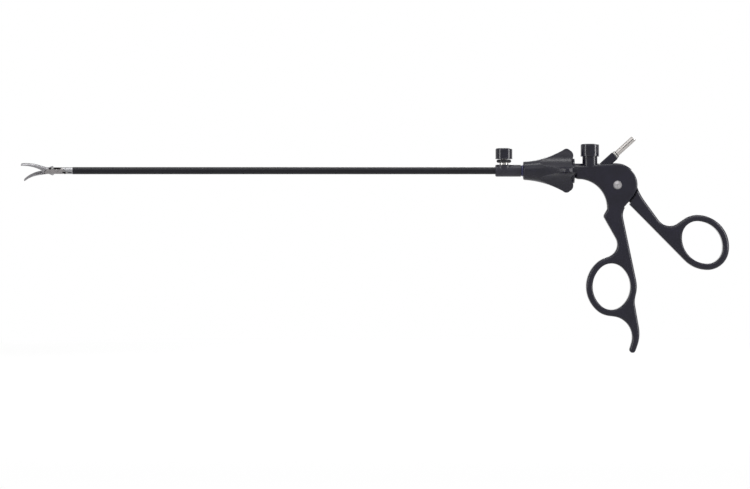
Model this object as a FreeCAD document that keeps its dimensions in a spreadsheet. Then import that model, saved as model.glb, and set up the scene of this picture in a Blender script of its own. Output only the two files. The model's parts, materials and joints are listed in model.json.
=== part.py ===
import FreeCAD, Part

import math
import os
import re
import Sketcher
from FreeCAD import Placement, Rotation, Vector

# A take-apart 5 mm laparoscopic grasper: ring handle, insulated sheath and double-action jaw insert.
# Millimetres. The shaft lies along X with the jaws toward -X, and Z is up.
# The origin is on the shaft's axis at the front face of the hub, where the insulated sheath leaves it.

DRIVING_SIZES = {
    # overall
    "working_length": 330.0,      # hub face to jaw tip
    "shaft_radius": 2.5,          # outside of the insulation
    "insulation_wall": 0.3,
    "tube_bore_radius": 1.75,
    "running_gap": 0.05,          # radial play of a shaft in its hole
    "free_gap": 0.3,              # room between pieces that pass each other
    # jaws, measured from their pivot with the jaws closed
    "jaw_reach": 18.6,            # pivot to tip
    "jaw_open_angle": 22.0,       # each jaw, from closed to open
    "jaw_roll": 42.0,             # how far the insert is turned about the shaft at rest
    "jaw_base_width": 3.9,
    "jaw_tip_width": 2.2,
    "jaw_base_height": 2.25,
    "jaw_tip_height": 0.75,
    "jaw_side_height": 0.55,      # straight side below the rounded back
    "jaw_edge_break": 0.25,       # slant at both sides of the bite
    "jaw_tip_round": 1.15,        # of the tip, seen from above
    "jaw_nose_round": 0.72,       # of the tip, seen from the side
    "jaw_half_gap": 0.03,         # between the two jaws' discs, from the middle plane
    "jaw_heel": 51.0,             # degrees of the jaw's slanting end outside the cheeks, when open
    "jaw_heel_place": 1.53,       # of that end ahead of the pivot
    "jaw_disc_play": 0.12,        # between one jaw's disc and the other jaw's blade
    "bite_start": 1.6,
    "bite_rise": 5.0,             # degrees above the axis at the root
    "bite_straight": 5.2,
    "bite_bend_radius": 21.0,
    "bite_offset": 0.15,
    "bite_gap": 0.06,             # between the closed rows of teeth
    "tooth_pitch": 0.61,
    "tooth_depth": 0.3,
    "tooth_start": 2.1,           # along the bite, from its root
    "tooth_end": 1.1,             # smooth stretch at the tip
    "scoop_radius": 1.25,
    "scoop_depth": 0.5,
    "hub_disc_radius": 2.2,
    "jaw_pin_radius": 0.7,
    # toggle linkage behind the jaws
    "tail_length": 4.6,           # jaw pivot to knee
    "tail_angle": 11.0,           # below the jaw's own line
    "tail_root_half_width": 1.3,
    "tail_half_width": 0.8,
    "link_length": 2.77,          # knee to rod pin
    "link_end_radius": 0.8,
    "link_slot": 0.4,             # play of the rod pin toward the knee
    "knee_pin_radius": 0.42,
    "rod_pin_radius": 0.4,
    "rod_pin_play": 0.17,
    "tongue_half_width": 0.35,
    "tongue_half_height": 0.85,
    "rod_tongue_length": 3.0,
    # clevis
    "clevis_radius": 2.32,
    "clevis_length": 11.1,
    "clevis_slot_end": 10.1,
    "clevis_slot_width": 2.3,
    "clevis_nose": 1.8,
    "clevis_shoulder": 0.1,
    "clevis_nose_half_height": 2.13,
    "clevis_step_radius": 0.95,   # of the crescent behind the tube, on both sides
    "clevis_step_depth": 0.2,
    "jaw_pin_length": 3.6,
    "clevis_spigot_radius": 1.9,
    "clevis_spigot_length": 1.4,
    # steel end of the sheath
    "end_gap": 0.2,
    "end_radius": 2.34,
    "end_length": 6.6,
    "end_flat": 2.03,
    "end_bore_radius": 1.2,
    "end_spigot_length": 6.0,
    "end_slot_height": 0.85,
    "end_slot_rear": 17.3,
    "end_relief_radius": 2.1,
    "end_relief_flat": 1.75,
    "cross_pin_place": 13.8,
    "cross_pin_radius": 0.36,
    "cross_head_radius": 0.8,
    "cross_head_height": 0.18,
    # pull rod
    "rod_radius": 0.9,
    "rod_head_length": 12.0,
    "ball_radius": 2.0,
    "ball_play": 0.08,
    "ball_seat": 1.2,             # depth of the rod in the ball
    "rod_neck_radius": 1.0,
    "rod_seal_place": 12.0,
    "rod_seal_width": 2.0,
    # hub, flushing port and rotation knob
    "hub_radius": 4.2,
    "hub_length": 17.8,
    "port_place": 6.0,
    "port_boss_radius": 4.6,
    "port_boss_top": 4.1,
    "port_stem_radius": 3.15,
    "port_bore_radius": 1.2,
    "port_floor": 0.4,            # between the sheath's tube and the stem
    "port_seal_radius": 5.1,
    "port_seal_low": 5.5,
    "port_seal_high": 7.7,
    "port_cone_radius": 2.1,
    "port_cone_top": 13.4,
    "cap_radius": 5.95,
    "cap_low": 8.0,
    "cap_high": 15.6,
    "ring_start": 18.2,
    "ring_width": 1.1,
    "ring_radius": 4.0,
    "knob_front": 19.3,
    "knob_rear": 54.0,
    "knob_crest_place": 49.6,
    "knob_crest_radius": 15.3,
    "knob_front_radius": 6.5,
    "flute_radius": 16.0,
    "flute_offset": 24.0,
    "flute_count": 4,
    "sleeve_radius": 3.6,
    "sleeve_front": 21.5,
    "sleeve_rear": 62.0,
    "sleeve_collar_radius": 4.4,
    "sleeve_collar_length": 4.0,
    # rear ring of the sheath and the latch plate that holds it
    "rear_ring_start": 62.6,
    "rear_ring_end": 68.0,
    "rear_ring_wall": 0.8,
    "rear_groove_wall": 0.3,      # of the ring, under its groove
    "latch_thickness": 1.2,
    "latch_side": 0.75,           # beside the release hole
    "latch_foot": 0.9,            # below the holding hole
    "latch_shoulder": 3.0,
    "latch_top": 5.4,
    "latch_top_half_width": 2.4,
    "latch_tab_half_width": 1.4,
    # handle
    "plate_thickness": 10.4,
    "rim_round": 2.0,
    "lever_rim_round": 2.4,
    "hole_rim_round": 1.5,
    "neck_radius": 5.3,
    "neck_front": 54.9,
    "neck_taper": 71.9,
    "flange_radius": 8.8,
    "flange_thickness": 1.9,
    "pivot_place": 84.7,
    "pivot_drop": 10.0,
    "pivot_shank_radius": 2.0,
    "pivot_bush_radius": 3.0,
    "pivot_head_radius": 3.0,
    "pivot_head_height": 1.1,
    "screw_centre_radius": 0.5,
    "screw_centre_depth": 0.2,
    "spanner_place": 1.6,         # of the nut's two holes, from its middle
    "spanner_radius": 0.45,
    "spanner_depth": 0.7,
    "head_radius": 14.7,
    "cheek_radius": 13.9,         # of the cheeks' rear rim, about the lever's pivot
    "cheek_flat": 13.6,           # from the pivot to the cheeks' slanting rear flat
    "cheek_flat_slope": 41.4,     # degrees that this flat's normal dips
    "slot_width": 5.0,
    "slot_roof_radius": 12.8,
    "slot_front": 80.0,
    "slot_floor": -26.2,
    "rod_passage_radius": 2.4,
    "tongue_width": 4.6,
    "tongue_disc_radius": 9.0,
    "tongue_foot_radius": 4.4,
    "fork_half_width": 4.1,
    "fork_top": 1.6,
    "shoulder_radius": 14.6,
    "squeeze_angle": 12.0,
    # finger rings: clear half-widths and wall
    "ring_wall": 4.5,
    "finger_ring_x": 80.6,
    "finger_ring_z": -80.5,
    "finger_half_width": 13.1,
    "finger_half_height": 16.0,
    "thumb_ring_x": 143.6,
    "thumb_ring_z": -49.8,
    "thumb_half_width": 13.0,
    "thumb_half_length": 16.0,
    "thumb_slope": 50.0,          # degrees that the long way of the thumb ring dips
    # release button
    "button_place": 65.7,
    "button_guide_radius": 5.25,
    "button_guide_top": 13.2,
    "button_radius": 6.5,
    "button_low": 9.8,
    "button_high": 18.6,
    "button_travel": 1.6,
    "button_roof": 2.0,
    "button_bore_floor": 6.2,
    "button_stem_radius": 1.6,
    "button_bore_radius": 3.9,
    "spring_wire": 0.35,
    "spring_radius": 3.0,
    "spring_turns": 5,
    # electrode connector
    "connector_x": 83.25,
    "connector_z": 10.7,
    "connector_slope": 42.3,
    "connector_length": 14.5,
    "connector_width": 6.0,
    "connector_round": 1.0,
    "collar_radius": 2.75,
    "collar_width": 0.9,
    "seal_radius": 2.45,
    "seal_width": 0.6,
    "electrode_tip_round": 0.7,
    "electrode_radius": 2.0,
    "electrode_root_radius": 1.6,
    "electrode_length": 16.4,
    "electrode_root": 6.0,
    "electrode_slit": 0.6,
    "electrode_slit_length": 11.0,
}


def fill_sheet(sheet):
    """Writes each driving size into the sheet, with its name as the alias."""
    for row, (name, number) in enumerate(DRIVING_SIZES.items(), start=1):
        sheet.set(f"A{row}", name)
        sheet.set(f"B{row}", str(number))
        sheet.setAlias(f"B{row}", name)


doc = FreeCAD.newDocument("laparoscopic_grasper")
sizes = doc.addObject("Spreadsheet::Sheet", "sizes")
fill_sheet(sizes)
doc.recompute()


def bound(text):
    """Turns a sum of driving sizes into an expression that reads them from the sheet."""
    return re.sub(r"[a-z][a-z0-9_]+", lambda word: "sizes." + word.group(), str(text))


def mm(text):
    """The present value of a sum of driving sizes."""
    return float(sizes.evalExpression(bound(text)))


# Derived places, each a sum of driving sizes that the expressions below repeat.
PIVOT_X = "(jaw_reach - working_length)"
JAW_PIVOT = mm(PIVOT_X)
END_FRONT = "(clevis_length + end_gap)"
END_REAR = "(clevis_length + end_gap + end_length)"
TUBE_RADIUS = "(shaft_radius - insulation_wall)"
CHEEK_INNER = "(clevis_slot_width / 2)"
JAW_OUTER = "(clevis_slot_width / 2 - running_gap)"
SLEEVE_BORE = "(shaft_radius - insulation_wall + running_gap)"
REAR_RING = "(shaft_radius - insulation_wall + rear_ring_wall)"
REAR_GROOVE = "(shaft_radius - insulation_wall + rear_groove_wall)"
LATCH_LOW = "(-(shaft_radius - insulation_wall + rear_groove_wall + latch_foot))"
PIN_ROOT = "(collar_width + seal_width)"
HAND_PIVOT = Vector(mm("pivot_place"), 0, -mm("pivot_drop"))


# Where the linkage stands with the jaws open, which is how the object is modelled.
OPEN_TAIL = math.radians(mm("jaw_open_angle + tail_angle"))
KNEE_X = mm("tail_length") * math.cos(OPEN_TAIL)
KNEE_Z = mm("tail_length") * math.sin(OPEN_TAIL)
ROD_PIN_X = KNEE_X + math.sqrt(mm("link_length") ** 2 - KNEE_Z ** 2)
LINK_SLOPE = math.degrees(math.asin(KNEE_Z / mm("link_length")))


def jaw_frame(pitch=0.0):
    """The frame of the jaw insert: at the jaw pivot, rolled about the shaft, then pitched about the pin."""
    roll = Rotation(Vector(1, 0, 0), mm("jaw_roll"))
    return Placement(Vector(JAW_PIVOT, 0, 0), roll * Rotation(Vector(0, 1, 0), pitch))


def new_body(label, placement=None):
    body = doc.addObject("PartDesign::Body", label)
    body.Label = label
    if placement is not None:
        body.Placement = placement
    return body


def new_sketch(body, role, name, offset="0"):
    """A sketch on one of the body's origin planes, moved along the row's own axis by offset."""
    sketch = body.newObject("Sketcher::SketchObject", name)
    plane = next(item for item in body.Origin.OriginFeatures if item.Role == role)
    sketch.AttachmentSupport = (plane, [""])
    sketch.MapMode = "FlatFace"
    sign = "-" if role == "XZ_Plane" else ""
    if offset != "0":
        sketch.setExpression("AttachmentOffset.Base.z", f"{sign}({bound(offset)})")
    return sketch


def add_polygon(sketch, corners):
    """A closed outline of straight edges, each corner held by two dimensions bound to the sheet."""
    first = sketch.GeometryCount
    places = [Vector(mm(x), mm(y), 0) for x, y in corners]
    for k, place in enumerate(places):
        sketch.addGeometry(Part.LineSegment(place, places[(k + 1) % len(places)]), False)
    for k, corner in enumerate(corners):
        after = first + (k + 1) % len(corners)
        sketch.addConstraint(Sketcher.Constraint("Coincident", first + k, 2, after, 1))
        for kind, text in zip(("DistanceX", "DistanceY"), corner):
            index = sketch.addConstraint(Sketcher.Constraint(kind, -1, 1, first + k, 1, mm(text)))
            sketch.setExpression(f"Constraints[{index}]", bound(text))


def add_circle(sketch, x, y, radius):
    """A circle held by its centre and radius, all bound to the sheet."""
    index = sketch.GeometryCount
    sketch.addGeometry(Part.Circle(Vector(mm(x), mm(y), 0), Vector(0, 0, 1), mm(radius)), False)
    for kind, text in (("DistanceX", x), ("DistanceY", y)):
        held = sketch.addConstraint(Sketcher.Constraint(kind, -1, 1, index, 3, mm(text)))
        sketch.setExpression(f"Constraints[{held}]", bound(text))
    held = sketch.addConstraint(Sketcher.Constraint("Radius", index, mm(radius)))
    sketch.setExpression(f"Constraints[{held}]", bound(radius))


SHORTEST_RUN = 0.02


def tangent_points(one, two):
    """Where the belt leaves circle one and meets circle two. A circle is x, y, radius and side,
    side 1 for a round corner that the belt holds inside and -1 for a hollow that it passes outside."""
    x1, y1, r1, side1 = one
    x2, y2, r2, side2 = two
    gap = math.hypot(x2 - x1, y2 - y1)
    course = math.atan2(y2 - y1, x2 - x1)
    swing = math.asin(max(-1.0, min(1.0, (side1 * r1 - side2 * r2) / gap)))
    normal = course + math.pi / 2 - swing
    way = (math.cos(normal), math.sin(normal))
    leave = Vector(x1 + side1 * r1 * way[0], y1 + side1 * r1 * way[1], 0)
    meet = Vector(x2 + side2 * r2 * way[0], y2 + side2 * r2 * way[1], 0)
    if (meet - leave).Length < SHORTEST_RUN:
        meet = leave
    return leave, meet


def belt_edges(circles):
    """Clockwise outline of arcs joined by tangent lines, like a belt round the circles."""
    runs = [tangent_points(circle, circles[(k + 1) % len(circles)]) for k, circle in enumerate(circles)]
    edges = []
    for k, (x, y, radius, side) in enumerate(circles):
        start, end = runs[k - 1][1], runs[k][0]
        first = math.atan2(start.y - y, start.x - x)
        last = math.atan2(end.y - y, end.x - x)
        turn = (side * (first - last)) % (2 * math.pi)
        middle = first - side * turn / 2
        edges.append(Part.Arc(start, Vector(x + radius * math.cos(middle), y + radius * math.sin(middle), 0), end))
        leave, meet = runs[k]
        if meet != leave:
            edges.append(Part.LineSegment(leave, meet))
    return edges


def end_numbers(sketch, index, edge):
    """The sketch's numbers for a curve's first and last point, as it counts every arc anticlockwise."""
    shape = edge.toShape()
    start = shape.valueAt(shape.FirstParameter)
    ahead = (sketch.getPoint(index, 1) - start).Length < SHORTEST_RUN / 10
    return (1, 2) if ahead else (2, 1)


def add_chain(sketch, edges):
    """A closed chain of curves, each joined to the next."""
    first = sketch.GeometryCount
    for edge in edges:
        sketch.addGeometry(edge, False)
    numbers = [end_numbers(sketch, first + k, edge) for k, edge in enumerate(edges)]
    for k in range(len(edges)):
        after = (k + 1) % len(edges)
        joint = Sketcher.Constraint("Coincident", first + k, numbers[k][1], first + after, numbers[after][0])
        sketch.addConstraint(joint)


def oval(x, y, half_width, half_height, slope=0.0):
    """Four tangent arcs close to an ellipse, clockwise from its left: side, top, side, bottom."""
    end = half_width ** 2 / half_height
    side = (half_width ** 2 + half_height ** 2 - 2 * half_height * end) / (2 * (half_width - end))
    along, across = half_height - end, side - half_width
    turn = math.radians(slope)

    def placed(dx, dy, radius):
        across_x = x + dx * math.cos(turn) - dy * math.sin(turn)
        return (across_x, y + dx * math.sin(turn) + dy * math.cos(turn), radius, 1)

    return [placed(across, 0, side), placed(0, along, end), placed(-across, 0, side), placed(0, -along, end)]


def pad(body, sketch, thickness):
    """Adds the sketch's shape, thickness wide, half on each side of the sketch."""
    added = body.newObject("PartDesign::Pad", sketch.Name + "_pad")
    added.Profile = sketch
    added.SideType = "Symmetric"
    added.setExpression("Length", bound(thickness))
    doc.recompute()
    return added


def cut(body, sketch, thickness=None):
    """Takes the sketch's shape away, right through or thickness wide about the sketch."""
    taken = body.newObject("PartDesign::Pocket", sketch.Name + "_cut")
    taken.Profile = sketch
    taken.SideType = "Symmetric"
    if thickness is None:
        taken.Type = "ThroughAll"
    else:
        taken.setExpression("Length", bound(thickness))
    doc.recompute()
    return taken


def cut_outward(body, sketch, away_from_normal):
    """Takes away everything on one side of the sketch, within its outline."""
    taken = body.newObject("PartDesign::Pocket", sketch.Name + "_cut")
    taken.Profile = sketch
    taken.Type = "ThroughAll"
    taken.Reversed = not away_from_normal
    doc.recompute()
    return taken


def revolve(body, sketch, axis):
    turned = body.newObject("PartDesign::Revolution", sketch.Name + "_turned")
    turned.Profile = sketch
    turned.ReferenceAxis = (sketch, [axis])
    turned.Angle = 360
    doc.recompute()
    return turned


def turned_body(label, corners, placement=None, axis="H_Axis"):
    """A turned piece: a closed outline of straight edges, revolved about X (H_Axis) or Z (V_Axis)."""
    body = new_body(label, placement)
    sketch = new_sketch(body, "XZ_Plane", label + "_profile")
    add_polygon(sketch, corners)
    revolve(body, sketch, axis)
    return body


def tube_body(label, start, end, inner, outer, placement=None, axis="H_Axis"):
    """A plain tube from start to end along its axis, or a bar where inner is 0."""
    corners = [(start, inner), (start, outer), (end, outer), (end, inner)]
    if axis == "V_Axis":
        corners = [(y, x) for x, y in corners]
    return turned_body(label, corners, placement, axis)


def upright_face(circles):
    """The face inside a belt round circles of the XZ plane."""
    wire = Part.Wire(Part.__sortEdges__([edge.toShape() for edge in belt_edges(circles)]))
    wire.rotate(Vector(0, 0, 0), Vector(1, 0, 0), 90)
    face = Part.Face(wire)
    face.validate()
    return face


def slab(face, y_low, y_high):
    """The face of the XZ plane swept from y_low to y_high."""
    moved = face.copy()
    moved.translate(Vector(0, y_low, 0))
    return moved.extrude(Vector(0, y_high - y_low, 0))


def rims(solid, half):
    """The edges of a plate that lie in its two faces, half away from the XZ plane."""
    def lies_at(edge, y):
        box = edge.BoundBox
        return abs(box.YMin - y) < 1e-4 and abs(box.YMax - y) < 1e-4
    return [edge for edge in solid.Edges if lies_at(edge, half) or lies_at(edge, -half)]


def moulded_plate(outline, hole, outer_round):
    """A thick plate with a ring hole, rounded along both faces of its outline and of the hole."""
    half = mm("plate_thickness") / 2
    plate = slab(upright_face(outline), -half, half)
    plate = plate.makeFillet(outer_round, rims(plate, half))
    drilled = plate.cut(slab(upright_face(hole), -half, half))
    old = [edge.CenterOfMass for edge in rims(plate, half)]
    fresh = [edge for edge in rims(drilled, half)
             if all((edge.CenterOfMass - place).Length > 1e-3 for place in old)]
    return drilled.makeFillet(mm("hole_rim_round"), fresh)


def based_body(label, shape):
    """A body that goes on from a shape made in code."""
    base = doc.addObject("Part::Feature", label + "_base")
    base.Shape = shape
    body = new_body(label)
    body.BaseFeature = base
    doc.recompute()
    return body


# Handle

def finger_ring(extra=0.0):
    """The oval of the fixed finger ring, grown by extra."""
    return oval(mm("finger_ring_x"), mm("finger_ring_z"),
                mm("finger_half_width") + extra, mm("finger_half_height") + extra)


def thumb_ring(extra=0.0):
    """The oval of the thumb ring, grown by extra, with its long way dipping."""
    return oval(mm("thumb_ring_x"), mm("thumb_ring_z"), mm("thumb_half_width") + extra,
                mm("thumb_half_length") + extra, 90 - mm("thumb_slope"))


def frame_outline():
    """Clockwise from the neck's top: head, back, ring, hook, ring again, finger rest and front hollow."""
    left, top, right, bottom = finger_ring(mm("ring_wall"))
    x, z = HAND_PIVOT.x, HAND_PIVOT.z
    beside = mm("finger_ring_x + finger_half_width + ring_wall")
    above = mm("finger_ring_z + finger_half_height + ring_wall")
    below = mm("finger_ring_z - finger_half_height - ring_wall")
    neck = mm("neck_front") + 3.7
    return [
        (neck, 1.0, 2.6, 1),
        (x - 0.7, z + 0.5, mm("head_radius"), 1),
        (x + 14.0, z - 21.0, 10.2, -1),
        right,
        (beside + 13.55, below + 10.0, 15.0, -1),
        (beside - 24.2, below - 12.0, 26.0, 1),
        (beside - 3.0, below - 23.3, 2.2, 1),
        (beside - 17.8, below - 14.7, 14.5, -1),
        bottom,
        left,
        top,
        (mm("finger_ring_x") - 4.9, above + 8.8, 8.9, -1),
        (x - 7.0, z - 21.6, 2.5, 1),
        (x - 10.1, z - 15.9, 3.0, -1),
        (x - 27.1, z - 15.9, 20.0, -1),
        (neck - 1.0, -3.3, 2.6, 1),
    ]


def lever_outline():
    """Clockwise from the root: upper hollow, thumb ring and the straight lower edge."""
    left, top, right, bottom = thumb_ring(mm("ring_wall"))
    x, z, hollow = HAND_PIVOT.x, HAND_PIVOT.z, 9.9
    reach, turn = mm("thumb_half_length + ring_wall") + hollow + 0.65, math.radians(mm("thumb_slope") + 86.2)
    return [
        (x + 5.3, z - 0.5, 7.0, 1),
        (x + 55.5, z + 15.2, 45.0, -1),
        (mm("thumb_ring_x") + reach * math.cos(turn), mm("thumb_ring_z") + reach * math.sin(turn), hollow, -1),
        top,
        right,
        bottom,
        left,
    ]


def from_pivot(radius, degrees):
    """A place at a radius and angle about the lever's pivot, as a sketch point."""
    turn = math.radians(degrees)
    return Vector(HAND_PIVOT.x + radius * math.cos(turn), HAND_PIVOT.z + radius * math.sin(turn), 0)


# Angles about the lever's pivot at which the slot between the cheeks ends, and their rear rim starts.
SLOT_OPENING, SLOT_CLOSING, CHEEK_TOP = 46.0, -82.0, 50.0


def handle_slot(sketch):
    """The slot between the two cheeks of the head, open to the rear for the lever's tongue."""
    roof, front, floor = mm("slot_roof_radius"), mm("slot_front"), mm("slot_floor")
    reach = HAND_PIVOT.x - front
    start = Vector(front, HAND_PIVOT.z + math.sqrt(roof ** 2 - reach ** 2), 0)
    end, upper = from_pivot(roof, SLOT_OPENING), from_pivot(3 * roof, SLOT_OPENING)
    drop = (HAND_PIVOT.z - floor) / math.sin(math.radians(-SLOT_CLOSING))
    lower = from_pivot(drop, SLOT_CLOSING)
    rear = Vector(upper.x, floor, 0)
    pivot, foot = from_pivot(0, 0), Vector(front, HAND_PIVOT.z, 0)
    add_chain(sketch, [
        Part.Arc(start, from_pivot(roof, 90), end),
        Part.LineSegment(end, upper),
        Part.LineSegment(upper, rear),
        Part.LineSegment(rear, lower),
        Part.LineSegment(lower, pivot),
        Part.LineSegment(pivot, foot),
        Part.LineSegment(foot, start),
    ])


def lever_room(sketch):
    """What is cut off the cheeks' rear so that the lever's thick arm can swing past them."""
    radius, flat, slope = mm("cheek_radius"), mm("cheek_flat"), mm("cheek_flat_slope")
    swing = math.degrees(math.acos(flat / radius))
    step = mm("slot_floor + 2 * free_gap")
    corner = from_pivot(radius, -slope - swing)
    along = from_pivot(1, -slope - 90) - from_pivot(0, 0)
    foot = corner + along * ((step - corner.y) / along.y)
    top = from_pivot(radius, CHEEK_TOP)
    outside = foot.x + mm("cheek_radius")
    low, high = Vector(outside, step, 0), Vector(outside, top.y, 0)
    add_chain(sketch, [
        Part.Arc(top, from_pivot(radius, 0), corner),
        Part.LineSegment(corner, foot),
        Part.LineSegment(foot, low),
        Part.LineSegment(low, high),
        Part.LineSegment(high, top),
    ])


def connector_frame():
    """The electrode connector's own frame: X out of the block, along the pin."""
    turn = Rotation(Vector(0, 1, 0), -mm("connector_slope"))
    return Placement(Vector(mm("connector_x"), 0, mm("connector_z")), turn)


def connector_block():
    """The sloping block behind the electrode pin, moulded on the head."""
    length, width = mm("connector_length"), mm("connector_width")
    block = Part.makeBox(length, width, width, Vector(-length, -width / 2, -width / 2))
    ahead = [edge for edge in block.Edges if edge.BoundBox.XMax > -1e-6]
    block = block.makeFillet(mm("connector_round"), ahead)
    block.Placement = connector_frame()
    return block


def make_handle_frame():
    """Neck, head with its two cheeks, grip, finger ring, hook and connector block in one moulding."""
    plate = moulded_plate(frame_outline(), finger_ring(), mm("rim_round"))
    body = based_body("handle_frame", plate.fuse(connector_block()))
    neck = new_sketch(body, "XZ_Plane", "neck_profile")
    add_polygon(neck, [("neck_front", "0"), ("neck_front", "neck_radius"), ("neck_taper", "neck_radius"),
                       ("neck_taper + 5", "neck_radius - 0.9"), ("neck_taper + 7", "neck_radius - 2.4"),
                       ("neck_taper + 7", "0")])
    revolve(body, neck, "H_Axis")
    guide = new_sketch(body, "XY_Plane", "button_guide", "button_guide_top / 2")
    add_circle(guide, "button_place", "0", "button_guide_radius")
    pad(body, guide, "button_guide_top")
    hollow_handle(body)
    drill_handle(body)


def hollow_handle(body):
    """Cuts the room of the lever, the rod and the latch into the handle."""
    slot = new_sketch(body, "XZ_Plane", "lever_slot")
    handle_slot(slot)
    cut(body, slot, "slot_width")
    disc = new_sketch(body, "XZ_Plane", "tongue_room")
    add_circle(disc, "pivot_place", "-pivot_drop", "tongue_disc_radius + free_gap")
    cut(body, disc, "slot_width")
    rear = new_sketch(body, "XZ_Plane", "cheek_rear")
    lever_room(rear)
    cut(body, rear)
    bore = new_sketch(body, "YZ_Plane", "sleeve_bore", "(neck_front + rear_ring_end) / 2")
    add_circle(bore, "0", "0", "sleeve_collar_radius + running_gap")
    cut(body, bore, "rear_ring_end - neck_front + 1")
    passage = new_sketch(body, "YZ_Plane", "rod_passage", "(rear_ring_end + slot_front) / 2")
    add_circle(passage, "0", "0", "rod_passage_radius")
    cut(body, passage, "slot_front - rear_ring_end + 2")
    pocket = new_sketch(body, "XZ_Plane", "latch_pocket")
    low, half = f"{LATCH_LOW} - button_travel - free_gap", "(latch_thickness / 2 + 0.2)"
    top = "latch_top + free_gap"
    add_polygon(pocket, [(f"button_place - {half}", low), (f"button_place + {half}", low),
                         (f"button_place + {half}", top), (f"button_place - {half}", top)])
    cut(body, pocket, f"2 * ({REAR_RING} + latch_side + 0.2)")


def drill_handle(body):
    """Bores the handle for the lever's screw, the button and the electrode pin."""
    for name, depth in (("near_head_seat", "-plate_thickness / 2"), ("far_head_seat", "plate_thickness / 2")):
        seat = new_sketch(body, "XZ_Plane", name, depth)
        add_circle(seat, "pivot_place", "-pivot_drop", "pivot_head_radius + running_gap")
        cut(body, seat, "2 * pivot_head_height")
    shank = new_sketch(body, "XZ_Plane", "pivot_hole")
    add_circle(shank, "pivot_place", "-pivot_drop", "pivot_shank_radius + running_gap")
    cut(body, shank)
    button = new_sketch(body, "XY_Plane", "button_bore", "button_guide_top")
    add_circle(button, "button_place", "0", "button_bore_radius")
    cut(body, button, "2 * (button_guide_top - button_bore_floor)")
    stem = new_sketch(body, "XY_Plane", "stem_bore", "button_guide_top / 2 + 1")
    add_circle(stem, "button_place", "0", "button_stem_radius + running_gap")
    cut(body, stem, "button_guide_top")
    seat = new_sketch(body, "YZ_Plane", "electrode_seat")
    seat.AttachmentSupport = None
    seat.Placement = connector_frame().multiply(Placement(Vector(), Rotation(Vector(1, 1, 1), 120)))
    add_circle(seat, "0", "0", "electrode_root_radius")
    cut(body, seat, "2 * electrode_root")


def make_thumb_lever():
    """Thumb ring and arm, with the tongue that turns between the cheeks and forks round the rod's ball."""
    body = based_body("thumb_lever", moulded_plate(lever_outline(), thumb_ring(), mm("lever_rim_round")))
    shoulder = new_sketch(body, "XZ_Plane", "shoulder")
    add_circle(shoulder, "pivot_place", "-pivot_drop", "shoulder_radius")
    cut(body, shoulder)
    shoulder_flat(body)
    tongue = new_sketch(body, "XZ_Plane", "tongue")
    add_chain(tongue, belt_edges(tongue_outline()))
    pad(body, tongue, "tongue_width")
    disc = new_sketch(body, "XZ_Plane", "tongue_disc")
    add_circle(disc, "pivot_place", "-pivot_drop", "tongue_disc_radius")
    pad(body, disc, "tongue_width")
    make_fork(body)
    bore = new_sketch(body, "XZ_Plane", "bush_bore")
    add_circle(bore, "pivot_place", "-pivot_drop", "pivot_bush_radius")
    cut(body, bore)


# How far round the pivot the arm's flat reaches, past the arm's lower edge.
FLAT_SPREAD = 34.0


def shoulder_flat(body):
    """The flat on the arm's lower shoulder, which meets the cheeks' flat when the handle is closed."""
    flat, radius = mm("cheek_flat + free_gap"), mm("shoulder_radius")
    slope = -mm("cheek_flat_slope - squeeze_angle")
    swing = math.degrees(math.acos(flat / radius))
    start = from_pivot(radius, slope - swing)
    edge = from_pivot(flat / math.cos(math.radians(FLAT_SPREAD)), slope - FLAT_SPREAD)
    inside = from_pivot(radius - 3, slope - FLAT_SPREAD)
    sketch = new_sketch(body, "XZ_Plane", "shoulder_flat")
    add_chain(sketch, [Part.LineSegment(start, edge), Part.LineSegment(edge, inside), Part.LineSegment(inside, start)])
    cut(body, sketch)


def tongue_outline():
    """Clockwise round the fork, the root of the arm and the disc on the pivot."""
    x, z = HAND_PIVOT.x, HAND_PIVOT.z
    half, top, corner = mm("fork_half_width"), mm("fork_top"), 1.0
    return [
        (x - half + corner, top - corner, corner, 1),
        (x + half - corner, top - corner, corner, 1),
        (x + 5.3, z + 1.0, 7.0, 1),
        (x + 15.6, z - 8.6, 1.0, 1),
        (x + 11.0, z - 12.6, 1.0, 1),
        (x, z, mm("tongue_foot_radius"), 1),
    ]


def make_fork(body):
    """The socket for the rod's ball, and the slot for its neck."""
    wall, floor = "(ball_radius + ball_play)", "-ball_radius - free_gap"
    socket = new_sketch(body, "XZ_Plane", "ball_socket")
    add_polygon(socket, [(f"pivot_place - {wall}", floor), (f"pivot_place + {wall}", floor),
                         (f"pivot_place + {wall}", "fork_top + 1"), (f"pivot_place - {wall}", "fork_top + 1")])
    cut(body, socket)
    slot = new_sketch(body, "XZ_Plane", "neck_slot")
    add_polygon(slot, [("pivot_place - 2 * fork_half_width", "-rod_neck_radius - 1.2"),
                       ("pivot_place", "-rod_neck_radius - 1.2"), ("pivot_place", "fork_top + 1"),
                       ("pivot_place - 2 * fork_half_width", "fork_top + 1")])
    cut(body, slot, "2 * rod_neck_radius + 0.5")


def make_neck_flange():
    """The dished flange between the knob and the neck."""
    corners = [("neck_front - flange_thickness", "sleeve_radius + running_gap"),
               ("neck_front - flange_thickness", "flange_radius - 0.8"),
               ("neck_front - flange_thickness + 0.8", "flange_radius"),
               ("neck_front", "flange_radius"), ("neck_front", "sleeve_radius + running_gap")]
    return turned_body("neck_flange", corners)


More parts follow.
